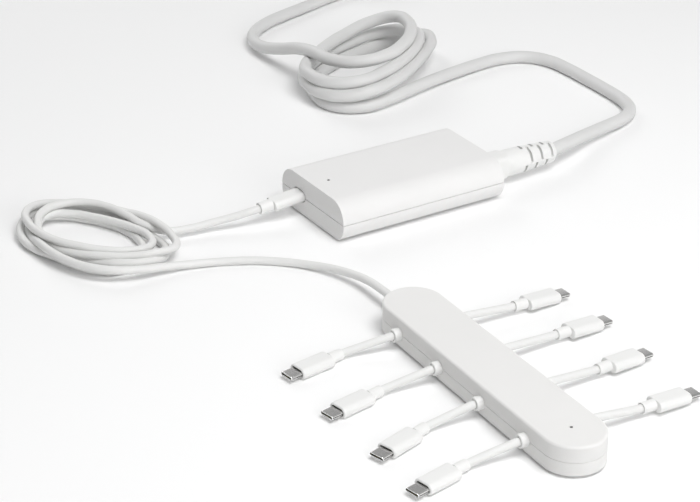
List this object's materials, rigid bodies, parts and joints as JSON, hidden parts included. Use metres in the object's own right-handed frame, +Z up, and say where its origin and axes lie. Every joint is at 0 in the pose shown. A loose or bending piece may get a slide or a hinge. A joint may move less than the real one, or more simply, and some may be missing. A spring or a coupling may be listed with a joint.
{
  "type": "multi port usb charger",
  "caption": "Long white round-ended hub with short captive USB-C cables along both sides, a power lead in a loose coil, a flat power adapter and its mains cord.",
  "frame": {"origin": "on the surface under the middle of the hub, at the underside of its middle foot", "axes": "+X along the hub towards the end with the status light, +Z up from the surface, +Y towards the side of the hub where the adapter lies"},
  "size_m": [0.6766, 0.4109, 0.0337],
  "materials": {
    "housing_white": "fine matte",
    "adapter_white": "fine matte",
    "plug_white": "satin",
    "jacket_white": "satin",
    "foot_grey": "matte",
    "light_clear": "frosted",
    "board_green": "solder mask",
    "ferrite_grey": "matte",
    "can_silver": "satin",
    "screw_steel": "plain",
    "shell_nickel": "plated",
    "pin_brass": "plain",
    "inlet_dark": "matte",
    "tie_grey": "woven"
  },
  "bodies": {
    "root": {"hub_top_cover": "housing_white", "hub_bottom_cover": "housing_white", "hub_circuit_board": "board_green", "hub_inductors": "ferrite_grey", "hub_capacitors": "can_silver", "hub_light_pipe": "light_clear", "hub_screws": "screw_steel", "hub_feet": "foot_grey", "lead_gland": "plug_white", "pigtail_gland_1": "plug_white", "pigtail_gland_2": "plug_white", "pigtail_gland_3": "plug_white", "pigtail_gland_4": "plug_white", "pigtail_gland_5": "plug_white", "pigtail_gland_6": "plug_white", "pigtail_gland_7": "plug_white", "pigtail_gland_8": "plug_white", "pigtail_cord_1": "jacket_white", "pigtail_cord_2": "jacket_white", "pigtail_cord_3": "jacket_white", "pigtail_cord_4": "jacket_white", "pigtail_cord_5": "jacket_white", "pigtail_cord_6": "jacket_white", "pigtail_cord_7": "jacket_white", "pigtail_cord_8": "jacket_white", "pigtail_plug_body_1": "plug_white", "pigtail_plug_body_2": "plug_white", "pigtail_plug_body_3": "plug_white", "pigtail_plug_body_4": "plug_white", "pigtail_plug_body_5": "plug_white", "pigtail_plug_body_6": "plug_white", "pigtail_plug_body_7": "plug_white", "pigtail_plug_body_8": "plug_white", "pigtail_plug_shell_1": "shell_nickel", "pigtail_plug_shell_2": "shell_nickel", "pigtail_plug_shell_3": "shell_nickel", "pigtail_plug_shell_4": "shell_nickel", "pigtail_plug_shell_5": "shell_nickel", "pigtail_plug_shell_6": "shell_nickel", "pigtail_plug_shell_7": "shell_nickel", "pigtail_plug_shell_8": "shell_nickel", "lead_cord": "jacket_white", "lead_coil": "jacket_white", "lead_plug_body": "plug_white", "lead_plug_shell": "shell_nickel", "adapter_top_cover": "adapter_white", "adapter_bottom_cover": "adapter_white", "adapter_board": "board_green", "adapter_transformer": "ferrite_grey", "adapter_capacitors": "can_silver", "adapter_inlet": "inlet_dark", "adapter_socket": "screw_steel", "adapter_light_pipe": "light_clear", "mains_connector": "plug_white", "mains_cord": "jacket_white", "mains_coil": "jacket_white", "stowed_coil": "jacket_white", "stowed_tie": "tie_grey", "mains_plug_body": "plug_white", "mains_plug_pins": "pin_brass"}
  },
  "joints": []
}
